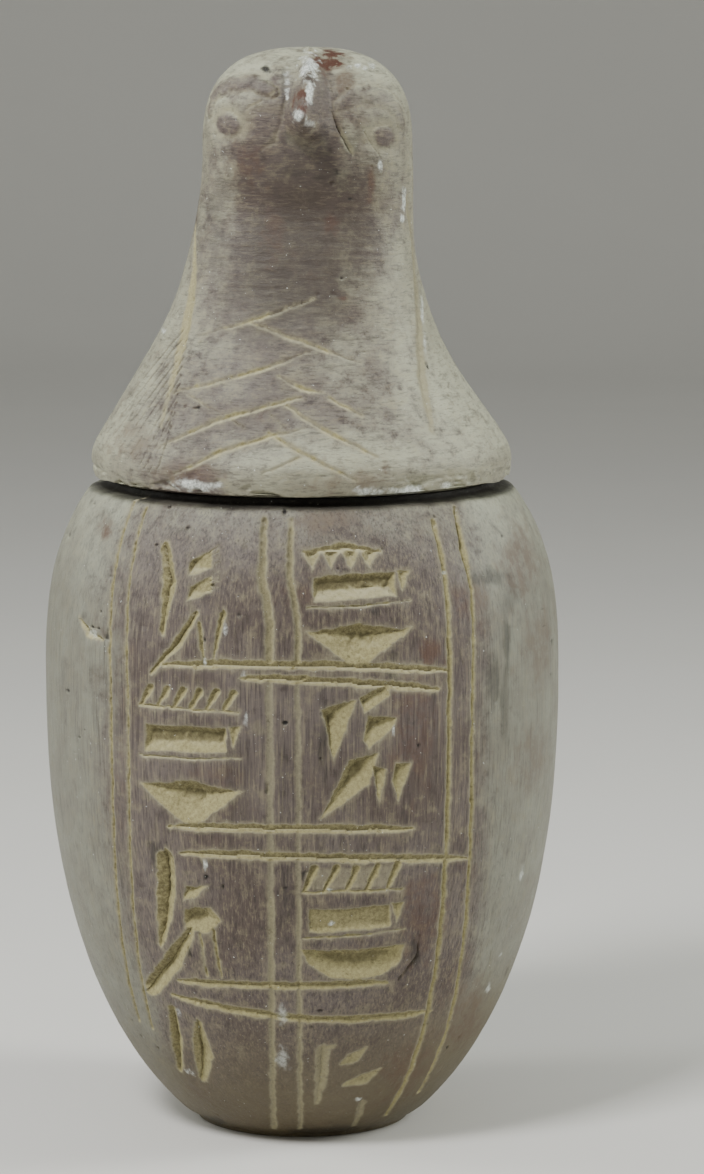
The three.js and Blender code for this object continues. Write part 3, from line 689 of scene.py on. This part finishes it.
def beak_front(points):
    """Reach of the beak's ridge before the axis, its share of fall sideways, and its band."""
    x, _, z = points.T
    h = z - RIM
    ridge_x = np.interp(h, [72, 80, 88, 94], [1.6, 0, 1.2, 1.9])
    down = np.clip((94.2 - h) / 14, 0, 1)
    upper = 11 + 19.9 * np.sin(0.5 * math.pi * down) ** 0.8
    left = np.interp(h, [70, 73, 80, 84, 88, 92, 95], [7, 6.4, 4.4, 3.9, 3.4, 2.8, 2])
    right = np.interp(h, [70, 73, 80, 84, 88, 92, 95], [9.6, 9.2, 7, 6.2, 5.2, 4, 2.4])
    away = np.clip(np.abs(x - ridge_x) / np.where(x < ridge_x, left, right), 0, 1.2)
    below_tip = 79 + 1.2 * away ** 2 - h
    ridge = upper - 10.8 * smooth(-1.4, 7.4, below_tip)
    rounded = (np.sqrt(away ** 2 + 0.03) - 0.1732) / (np.sqrt(1.03) - 0.1732)
    fall = np.where(x < ridge_x, rounded ** 1.1, rounded ** 0.95)
    return ridge, fall, (h > 70) & (h < 95)


def add_beak(body, points):
    """Pushes the body's front out to a hooked beak with a rounded ridge."""
    ridge, fall, near = beak_front(points)
    front = -body[:, 1]
    base = front - 1.2
    wall = ridge - (ridge - base) * fall
    gap = wall - front
    blend = 0.9
    lift = np.where(gap > blend, gap, np.clip(gap + blend, 0, None) ** 2 / (4 * blend))
    body[:, 1] -= np.where(near & (front > 0), lift, 0)


def lid_fields(points):
    """Depth below the plain lid, and the masks that colour it."""
    cuts = Cuts(points, lid_front, seed=111)
    carve_eye(cuts, -1, 1)
    carve_eye(cuts, 1, 0.45)
    carve_beak_lines(cuts)
    carve_breast(cuts)
    x, y, z = points.T
    h = z - RIM
    leaning = np.stack([0.8 * x + 0.6 * z, y, 0.8 * z - 0.6 * x], axis=1)
    waves = 0.14 * (1 + layered(points, 20, 131)) + 0.06 * (1 + layered(points, 4.5, 135))
    rasp = 0.04 * (1 + noise(points, (7, 7, 0.9), 141))
    rasp += 0.02 * (1 + noise(points, (4, 4, 0.5), 143))
    pits = 0.45 * smooth(0.72, 0.95, noise(points, 1.7, 151))
    pits *= smooth(0, 0.6, noise(points, 8, 153))
    at_edge = smooth(6, 1.5, h)
    nicks = at_edge * 1.6 * smooth(0.05, 0.7, layered(points, (8, 8, 2.6), 161))
    nicks += at_edge * 0.8 * smooth(0.2, 0.8, noise(leaning, 2.4, 165))
    heights = [0, 12, 25, 40, 60, 75, 88, 95]
    left = np.interp(h, heights, [38, 34, 29, 24, 20, 14, 3, -9])
    right = np.interp(h, heights, [36, 24, 14, 12, 17, 14, 5, -9])
    outside = np.maximum(x - right, -x - left)
    outside += 13 * layered(leaning, 15, 171) + 5 * layered(leaning, 3.5, 174)
    behind = 0.75 + 0.25 * layered(points, 18, 175)
    breast = 0.95 * smooth(19, 6, h + 5 * layered(points, 10, 177)) * smooth(-26, -8, x)
    neck = np.hypot((x + 2) / 19, (h - 51) / 23) + 0.5 * layered(leaning, 9, 183, 4)
    patina = np.where(y < 0, np.maximum(0.94 * smooth(-16, 14, outside), breast), behind)
    smears = patches(points, LID_SMEARS, 3, RIM)
    worn = patches(points, LID_WORN, 3, RIM)
    grime_and_shade = patches(points, LID_GRIME_AND_SHADE, 1.6, RIM)
    masks = {
        # A rough share of the painted light on the lid's plain surface, for the painted light in
        # its cuts
        "plain_light": 0.25 + 0.25 * smooth(60, 15, h) - 0.008 * x,
        "earth": cuts.earth,
        "crease": cuts.crease,
        "patina": np.maximum(patina, smears) * (1 - cuts.bare) * (1 - worn),
        "soil": 0.9 * smooth(1.3, 0.3, neck) * (y < 0),
        "rust": patches(points, LID_RUST, base=RIM),
        "grime_and_shade": np.maximum(0.7 * grime_and_shade, smooth(0.1, 0.4, pits)),
        "chips_and_highlights": patches(points, LID_CHIPS_AND_HIGHLIGHTS, 1, RIM),
    }
    return cuts.depth + cuts.relief + waves + rasp + pits + nicks, masks


# ---- Meshes ----

def put_in_scene(name, data):
    """A new object with some data, in the scene."""
    item = bpy.data.objects.new(name, data)
    bpy.context.scene.collection.objects.link(item)
    return item


def column_angles(front_half, front_step, back_step):
    """Angles round the axis: close together over the front, wider behind."""
    front = np.arange(-front_half, front_half, front_step)
    back = np.arange(front_half, 360 - front_half, back_step)
    return np.radians(np.concatenate([front, back]))


def even_rows(profile, step):
    """Resamples a list of (radius, height) points at even distances."""
    profile = np.asarray(profile, float)
    lengths = np.concatenate([[0], np.cumsum(np.linalg.norm(np.diff(profile, axis=0), axis=1))])
    count = int(lengths[-1] / step) + 1
    at = np.linspace(0, lengths[-1], count)
    return np.stack([np.interp(at, lengths, profile[:, k]) for k in range(2)], axis=1)


def grid_faces(rows, columns):
    """Quads of a grid that is closed round its columns."""
    i = np.arange(rows - 1)[:, None] * columns
    j = np.arange(columns)[None, :]
    k = (j + 1) % columns
    return np.stack([i + j, i + k, i + columns + k, i + columns + j], axis=-1).reshape(-1, 4)


def grid_normals(grid):
    """Outward normals of a grid of points, rows going up and columns going round to +X."""
    round_way = np.roll(grid, -1, axis=1) - np.roll(grid, 1, axis=1)
    up_way = np.gradient(grid, axis=0)
    normals = np.cross(round_way, up_way)
    return normals / np.maximum(np.linalg.norm(normals, axis=2, keepdims=True), 1e-9)


def closed_mesh(name, grid, first_pole, last_pole):
    """A mesh from rows of points, closed at both ends by a fan round a pole."""
    rows, columns, _ = grid.shape
    vertices = np.concatenate([grid.reshape(-1, 3), [first_pole, last_pole]]) * MM
    first, last = rows * columns, rows * columns + 1
    top = first - columns
    pairs = [(j, (j + 1) % columns) for j in range(columns)]
    faces = grid_faces(rows, columns).tolist()
    faces += [(first, k, j) for j, k in pairs] + [(last, top + j, top + k) for j, k in pairs]
    mesh = bpy.data.meshes.new(name)
    mesh.from_pydata(vertices.tolist(), [], faces)
    mesh.validate()
    return put_in_scene(name, mesh)


def thin_out(piece, triangles):
    """Merges the flattest triangles until the piece has only so many."""
    triangulate = piece.modifiers.new("triangles", "TRIANGULATE")
    triangulate.quad_method = "SHORTEST_DIAGONAL"
    count = sum(len(p.vertices) - 2 for p in piece.data.polygons)
    decimate = piece.modifiers.new("thinner", "DECIMATE")
    decimate.ratio = min(1, triangles / count)
    bpy.context.view_layer.update()
    evaluated = piece.evaluated_get(bpy.context.evaluated_depsgraph_get())
    thinner = bpy.data.meshes.new_from_object(evaluated)
    old = piece.data
    piece.modifiers.clear()
    piece.data = thinner
    thinner.name = piece.name
    bpy.data.meshes.remove(old)
    thinner.shade_smooth()
    thinner.set_sharp_from_angle(angle=math.radians(38))


def vertex_points(piece):
    """The piece's vertices in millimetres."""
    co = np.empty(len(piece.data.vertices) * 3)
    piece.data.vertices.foreach_get("co", co)
    return co.reshape(-1, 3) / MM


def store_masks(piece, masks):
    """Keeps one number per vertex for each mask, for the material to read."""
    for name, values in masks.items():
        attribute = piece.data.attributes.new(name, "FLOAT", "POINT")
        attribute.data.foreach_set("value", np.asarray(values, np.float32))


def turned_grid(rows, angles):
    """Points of (radius, height) rows turned round the axis."""
    radius, height = rows[:, 0][:, None], rows[:, 1][:, None]
    x = radius * np.sin(angles)
    y = -radius * np.cos(angles)
    return np.stack([x, y, np.broadcast_to(height, x.shape)], axis=-1)


def jar_piece():
    """The hollow jar, with its cuts on the outside."""
    angles = column_angles(58, 0.27, 1.5)
    heights = np.linspace(0.5, RIM - 1.9, 240)
    side = [(float(jar_radius(z)), z) for z in heights]
    lip = [(46, RIM - 1.4), (44.6, RIM - 1.3), (43.5, RIM - 0.9), (43, RIM - SKIN)]
    outside = even_rows([(float(jar_radius(0.5)) - 1.2, 0), *side, *lip], 0.3)
    foot = [(r, 0) for r in (9, 18)]
    inside = [(36, RIM - SKIN), (MOUTH_RADIUS, RIM - SKIN), (MOUTH_RADIUS, RIM - 4)]
    for z in np.linspace(RIM - NECK_DEPTH, FLOOR + FLOOR_ROUNDING, 14):
        inside.append((float(bore_radius(z)), z))
    for turn in np.linspace(0, math.pi / 2, 6)[1:]:
        z = FLOOR + FLOOR_ROUNDING * (1 - math.sin(turn))
        inside.append((float(bore_radius(z)), z))
    rows = np.array([*foot, *outside, *inside])
    grid = turned_grid(rows, angles)
    shown = slice(len(foot), len(foot) + len(outside))
    plain = grid[shown]
    depth, _ = jar_fields(plain.reshape(-1, 3))
    depth = depth.reshape(plain.shape[:2])[..., None]
    depth = np.minimum(depth, 0.15 + np.arange(len(outside))[:, None, None] * 0.3)
    moved = plain - grid_normals(plain) * depth
    moved[..., 2] = np.clip(moved[..., 2], 0, RIM - SKIN)
    grid[shown] = moved
    piece = closed_mesh("carved_jar", grid, (0, 0, 0), (0, 0, FLOOR))
    thin_out(piece, TRIANGLES)
    points = vertex_points(piece)
    off_axis = np.hypot(points[:, 0], points[:, 1])
    plain_radius = jar_radius(points[:, 2])
    on_outside = np.abs(off_axis - plain_radius) < 5
    points[:, :2] *= np.where(off_axis > 1, plain_radius / np.maximum(off_axis, 1e-6), 1)[:, None]
    _, masks = jar_fields(points)
    store_masks(piece, {name: values * on_outside for name, values in masks.items()})
    return piece


def lid_grid(heights, angles):
    """Rows of the lid's plain body: a rounded square that is a circle at the skirt."""
    side, front, back, lean, power = (v[:, None] for v in lid_section(heights))
    east, south = np.abs(np.sin(angles))[None, :], np.cos(angles)[None, :]
    depth = np.where(south > 0, front, back)
    reach = ((east / side) ** power + (np.abs(south) / depth) ** power) ** (-1 / power)
    x = lean + reach * np.sin(angles)
    y = -reach * np.cos(angles)
    return np.stack([x, y, np.broadcast_to(RIM + heights[:, None], x.shape)], axis=-1)


def lid_piece():
    """The falcon's head on its skirt, with the plug below."""
    angles = column_angles(75, 0.42, 1.6)
    crown = CROWN_START + (LID_HEIGHT - CROWN_START) * np.sin(np.linspace(0.01, math.pi / 2, 200))
    trial = np.concatenate([np.linspace(0.6, CROWN_START, 200), crown])
    side, *_ = lid_section(trial)
    body_rows = even_rows(np.stack([side, trial], axis=1), 0.27)
    body = lid_grid(body_rows[:, 1], angles)
    plug = [(9, -PLUG_DEPTH), (18, -PLUG_DEPTH), (PLUG_RADIUS - PLUG_EDGE, -PLUG_DEPTH),
            (PLUG_RADIUS, PLUG_EDGE - PLUG_DEPTH), (PLUG_RADIUS, -0.3)]
    seat = [(PLUG_RADIUS + 0.6, SKIN), (38, SKIN), (43.2, SKIN),
            (44.2, 0.6), (45.3, 1.2), (45.9, 0.9)]
    under = turned_grid(np.array([(r, RIM + h) for r, h in plug + seat]), angles)
    points = body.reshape(-1, 3)
    depth, _ = lid_fields(points)
    moved = body - grid_normals(body) * depth.reshape(body.shape[:2])[..., None]
    flat = moved.reshape(-1, 3)
    add_beak(flat, points)
    flat[:, 2] += smooth(7, 1, points[:, 2] - RIM) * 0.5 * layered(points * [1, 1, 0], 13, 181)
    flat[:, 2] = np.minimum(flat[:, 2], TOP - 0.02)
    top = flat.reshape(body.shape)[-1].mean(0)
    grid = np.concatenate([under, flat.reshape(body.shape)])
    piece = closed_mesh("carved_lid", grid, (0, 0, RIM - PLUG_DEPTH), (top[0], top[1], TOP - 0.02))
    thin_out(piece, TRIANGLES)
    _, masks = lid_fields(vertex_points(piece))
    store_masks(piece, masks)
    return piece


# ---- Materials ----

def srgb(red, green, blue):
    """A colour given as 0 to 255 per channel, as the shader wants it."""
    def linear(value):
        share = value / 255
        return share / 12.92 if share <= 0.04045 else ((share + 0.055) / 1.055) ** 2.4
    return (linear(red), linear(green), linear(blue), 1)


class Nodes:
    """Short calls for building one material's nodes."""

    def __init__(self, name):
        self.material = bpy.data.materials.new(name)
        self.material.use_nodes = True
        self.tree = self.material.node_tree
        self.tree.nodes.clear()
        self.place = self.add("TexCoord").outputs["Object"]

    def add(self, kind, inputs=None, **settings):
        """A node with some settings, whose inputs are linked to an output or set to a value."""
        node = self.tree.nodes.new("ShaderNode" + kind)
        for key, value in settings.items():
            setattr(node, key, value)
        for key, value in (inputs or {}).items():
            if isinstance(value, bpy.types.NodeSocket):
                self.tree.links.new(value, node.inputs[key])
            else:
                node.inputs[key].default_value = value
        return node

    def noise(self, size, stretch=(1, 1, 1), detail=4.0, rough=0.55, warp=0.0):
        """Noise from 0 to 1 with lumps of a size in millimetres, drawn out along an axis."""
        scale = [1 / share for share in stretch]
        mapping = self.add("Mapping", {"Vector": self.place, "Scale": scale}, vector_type="TEXTURE")
        return self.add("TexNoise", {
            "Vector": mapping.outputs["Vector"], "Scale": 1 / (size * MM),
            "Detail": detail, "Roughness": rough, "Distortion": warp}).outputs["Fac"]

    def mask(self, name):
        return self.add("Attribute", attribute_name=name).outputs["Fac"]

    def ramp(self, source, low, high):
        """0 where the source is low, 1 where it is high, and an even curve between."""
        inputs = {"Value": source, "From Min": low, "From Max": high}
        return self.add("MapRange", inputs, interpolation_type="SMOOTHSTEP").outputs["Result"]

    def math(self, operation, first, second):
        return self.add("Math", {0: first, 1: second}, operation=operation).outputs[0]

    def plus(self, first, second):
        return self.math("ADD", first, second)

    def less(self, first, second):
        return self.math("SUBTRACT", first, second)

    def greater(self, first, second):
        return self.math("MAXIMUM", first, second)

    def times(self, first, *others):
        for other in others:
            first = self.math("MULTIPLY", first, other)
        return first

    def mix(self, share, *colours):
        """Mixes two colours, each an output or a tuple of 0 to 255 per channel."""
        first, second = (srgb(*c) if isinstance(c, tuple) else c for c in colours)
        return self.add("Mix", {0: share, 6: first, 7: second}, data_type="RGBA").outputs[2]

    def coat(self, colour, tint, *shares):
        """Lays a tint over a colour by the product of some shares."""
        return self.mix(self.times(*shares), colour, tint)

    def finish(self, colour, roughness, height, bump_depth):
        """The material, with one shader and a bump from a height."""
        bump = self.add("Bump", {"Strength": 0.7, "Distance": bump_depth * MM, "Height": height})
        shader = self.add("BsdfPrincipled", {
            "Base Color": colour, "Roughness": roughness, "Specular IOR Level": 0.4,
            "Normal": bump.outputs["Normal"]})
        self.add("OutputMaterial", {"Surface": shader.outputs["BSDF"]})
        return self.material


class Stone(Nodes):
    """The patterns that the layers of carved stone share."""

    def __init__(self, name, marks_along, marked, polish):
        super().__init__(name)
        self.marked = marked
        self.mottle = self.noise(3.6, detail=9, rough=0.72)
        self.grain = self.noise(0.55, detail=5, rough=0.75)
        self.sand = self.ramp(self.noise(0.8, detail=5, rough=0.85), 0.33, 0.67)
        self.marks = self.noise(0.45, marks_along, detail=5, rough=0.7)
        wider = [max(share, 0.1) for share in marks_along]
        self.broad = self.noise(1.9, wider, detail=6, rough=0.7, warp=0.4)
        self.normal = self.add("NewGeometry").outputs["Normal"]
        self.facing_up = self.add("SeparateXYZ", {0: self.normal}).outputs["Z"]
        under_patina = self.times(self.mask("patina"), polish)
        under_soil = self.times(self.mask("soil"), 0.75)
        self.fresh = self.less(1.0, self.greater(under_patina, under_soil))


def ground(n, bare, patina, soil, settling):
    """Bare stone under patina and soil, with pale dust where it faces up."""
    cloud = n.ramp(n.noise(24, detail=6, rough=0.6), 0.3, 0.7)
    colour = n.mix(cloud, n.mix(0.4, bare, (70, 54, 48)), n.mix(0.25, bare, (134, 126, 122)))
    blotches = n.ramp(n.noise(8, detail=7, rough=0.65), 0.35, 0.65)
    patina = n.mix(blotches, n.mix(0.35, patina, (96, 86, 76)), patina)
    weathered = n.plus(n.mask("patina"), n.times(n.less(n.mottle, 0.5), 1.5))
    colour = n.coat(colour, patina, n.ramp(weathered, 0.05, 1.0), 0.9)
    colour = n.coat(colour, soil, n.mask("soil"), 0.85)
    reached = n.plus(0.25, n.times(n.mask("patina"), 0.75))
    settled = n.times(n.ramp(n.facing_up, 0.05, 0.9), reached, n.ramp(n.mottle, 0.2, 0.7))
    return n.coat(colour, (209, 212, 187), settled, settling)


def tooled(n, colour):
    """Pale and dark mottling and tool marks, where patina and soil leave the stone bare."""
    for pattern, low, high, strength, tint in (
            (n.mottle, 0.5, 0.66, 0.3, (152, 143, 112)), (n.mottle, 0.46, 0.3, 0.6, (54, 44, 40)),
            (n.marks, 0.52, 0.66, 0.35 * n.marked, (152, 142, 114)),
            (n.marks, 0.49, 0.36, 0.5 * n.marked, (48, 40, 38)),
            (n.broad, 0.47, 0.32, 0.5 * n.marked, (54, 45, 43)),
            (n.broad, 0.55, 0.68, 0.22 * n.marked, (150, 140, 114))):
        colour = n.coat(colour, tint, n.ramp(pattern, low, high), strength, n.fresh)
    return colour


def stained(n, colour):
    """Rusty and black stains in their places and a few anywhere, and painted black shade under the
    lid's edge and the beak.
    """
    wide_rust = n.times(n.ramp(n.noise(15, detail=8, rough=0.72), 0.57, 0.7), 0.35)
    rust = n.greater(n.times(n.mask("rust"), n.ramp(n.mottle, 0.36, 0.56)), wide_rust)
    colour = n.coat(colour, n.mix(n.grain, (54, 31, 24), (106, 71, 56)), rust, 0.8)
    specks = n.ramp(n.noise(1.3, (1, 1, 0.6), detail=6, rough=0.75), 0.65, 0.73)
    # One mask for dark stains and pits and for painted shadow under the lid's edge and the beak's
    # tip
    grime_and_shade = n.times(n.mask("grime_and_shade"), n.ramp(n.grain, 0.15, 0.45))
    return n.mix(n.greater(grime_and_shade, n.times(specks, 0.6)), colour, (32, 29, 26))


def filled(n, colour):
    """Earth in the cuts, with painted light: lit and shaded copies of its colour by how each wall
    leans to the painted light, and painted shade in the creases.
    """
    earth = n.mask("earth")
    clumps = n.noise(1.6, detail=6, rough=0.75)
    # Painted light and shade: lit and shaded copies of the earth's colour, by how far each wall
    # leans towards the painted light more than the plain surface around it
    facing = n.add("VectorMath", {0: n.normal, 1: PAINTED_LIGHT_FROM}, operation="DOT_PRODUCT")
    leaning = n.ramp(n.less(facing.outputs["Value"], n.mask("plain_light")), -0.45, 0.4)
    tint = n.mix(n.sand, (108, 99, 65), (182, 174, 127))
    tint = n.mix(leaning, n.mix(0.4, tint, (74, 66, 42)), n.mix(0.4, tint, (200, 190, 138)))
    # Painted light from above: paler earth where a wall faces up
    tint = n.coat(tint, (206, 200, 168), n.ramp(n.facing_up, 0.35, 0.85), 0.6)
    tint = n.coat(tint, (154, 149, 131), n.ramp(earth, 0.95, 0.6), 0.6)
    # Painted shade in the deepest part of each cut
    tint = n.coat(tint, (66, 58, 34), n.mask("crease"), 0.5)
    tint = n.coat(tint, (84, 74, 46), n.ramp(clumps, 0.42, 0.3), 0.5)
    clumped = n.plus(earth, n.times(n.less(clumps, 0.5), 0.4))
    return n.coat(colour, tint, n.ramp(clumped, 0.1, 0.75), n.ramp(earth, -0.4, 0.9), 0.95)


def stone(name, bare, patina, soil, settling, marks_along, marked, polish):
    """Carved stone with pale patina, tool marks, stains and painted shade, earth in the cuts with
    painted light and shade, and pale chips with painted highlights.
    """
    n = Stone(name, marks_along, marked, polish)
    colour = filled(n, stained(n, tooled(n, ground(n, bare, patina, soil, settling))))
    # Pale flecks anywhere, and pale chips and painted highlights where the mask says
    flecks = n.ramp(n.noise(0.7, detail=3), 0.715, 0.76)
    chips_and_highlights = n.greater(flecks, n.times(n.mask("chips_and_highlights"), n.ramp(n.mottle, 0.36, 0.5)))
    pale = n.mix(n.ramp(n.grain, 0.35, 0.6), (150, 158, 152), (238, 242, 236))
    colour = n.coat(colour, pale, chips_and_highlights, 0.9)
    roughness = n.plus(n.times(n.mottle, 0.35), n.times(n.mask("earth"), 0.25))
    roughness = n.less(n.plus(roughness, 0.32), n.times(chips_and_highlights, 0.25))
    height = n.plus(n.times(n.marks, 0.9 * marked), n.times(n.grain, 0.6))
    height = n.plus(n.plus(height, n.mottle), n.times(n.sand, n.mask("earth"), 0.8))
    return n.finish(colour, roughness, height, 0.2)


def jar_stone():
    return stone("jar_stone", bare=(92, 81, 75), patina=(135, 136, 122), soil=(92, 82, 58),
                 settling=0.62, marks_along=(1, 1, 0.04), marked=1.15, polish=0.5)


def lid_stone():
    return stone("lid_stone", bare=(94, 83, 77), patina=(162, 161, 139), soil=(62, 52, 44),
                 settling=0.8, marks_along=(0.2, 0.2, 1), marked=1.0, polish=0.25)


# ---- Studio ----

def paper():
    """Pale matt paper with a faint unevenness of tone."""
    n = Nodes("paper")
    colour = srgb(226, 224, 219)
    darker = [0.985 * channel for channel in colour[:3]] + [1]
    tone = n.mix(n.ramp(n.noise(160, detail=2), 0.3, 0.7), list(colour), darker)
    return n.finish(tone, 0.9, n.noise(3), 0.01)


def floor():
    """A round pale floor that sweeps up into a backdrop on every side."""
    flat, bend, height, sides = 1.9, 0.7, 2.4, 96
    path = [(flat * k / 4, 0.0) for k in range(1, 5)]
    for turn in np.linspace(0, math.pi / 2, 16)[1:]:
        path.append((flat + bend * math.sin(turn), bend * (1 - math.cos(turn))))
    path.append((flat + bend, height))
    rings = turned_grid(np.array(path), np.linspace(0, 2 * math.pi, sides, endpoint=False))
    faces = [(0, 1 + k, 1 + (k + 1) % sides) for k in range(sides)]
    faces += (1 + grid_faces(len(path), sides))[:, ::-1].tolist()
    mesh = bpy.data.meshes.new("floor")
    mesh.from_pydata([(0, 0, 0), *rings.reshape(-1, 3).tolist()], [], faces)
    mesh.shade_smooth()
    mesh.materials.append(paper())
    put_in_scene("floor", mesh)


def soft_light(name, place, target, size, power, colour=(1, 1, 1)):
    data = bpy.data.lights.new(name, "AREA")
    data.shape = "RECTANGLE"
    data.size, data.size_y = size
    data.energy = power
    data.color = colour
    light = put_in_scene(name, data)
    light.location = place
    aim = Vector(target) - Vector(place)
    light.rotation_euler = aim.to_track_quat("-Z", "Y").to_euler()


def studio():
    middle = (0, 0, 0.12)
    soft_light("key", (-0.45, -0.62, 1.05), middle, (0.28, 0.28), 12.5)
    soft_light("left_strip", (-0.8, 0.05, 0.5), middle, (0.25, 0.5), 3.4, (0.97, 1.0, 0.97))
    soft_light("right_strip", (0.8, 0.0, 0.5), middle, (0.25, 0.5), 6, (0.97, 1.0, 0.96))
    soft_light("fill", (0.3, -1.3, 0.35), middle, (0.6, 0.6), 0.9)
    world = bpy.data.worlds.new("air")
    world.use_nodes = True
    background = world.node_tree.nodes["Background"].inputs
    background["Color"].default_value = (0.9, 0.94, 0.92, 1)
    background["Strength"].default_value = 0.3
    bpy.context.scene.world = world


def camera():
    """A long lens a metre in front, a little above the jar and looking slightly down."""
    distance, height, pitch, turn = 0.9746, 0.25344, math.radians(7.8), 0.0114
    data = bpy.data.cameras.new("camera")
    data.lens = 135
    data.sensor_width = 36
    data.clip_start = 0.01
    view = put_in_scene("camera", data)
    view.location = (0, -distance, height)
    view.rotation_euler = (math.pi / 2 - pitch, 0, -turn)
    bpy.context.scene.camera = view


# ---- Scene ----

def place_piece(piece, node, material):
    piece.data.materials.append(material)
    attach(piece, "root")
    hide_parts(node)


camera()
studio()
floor()
place_piece(jar_piece(), "jar", jar_stone())
place_piece(lid_piece(), "lid", lid_stone())
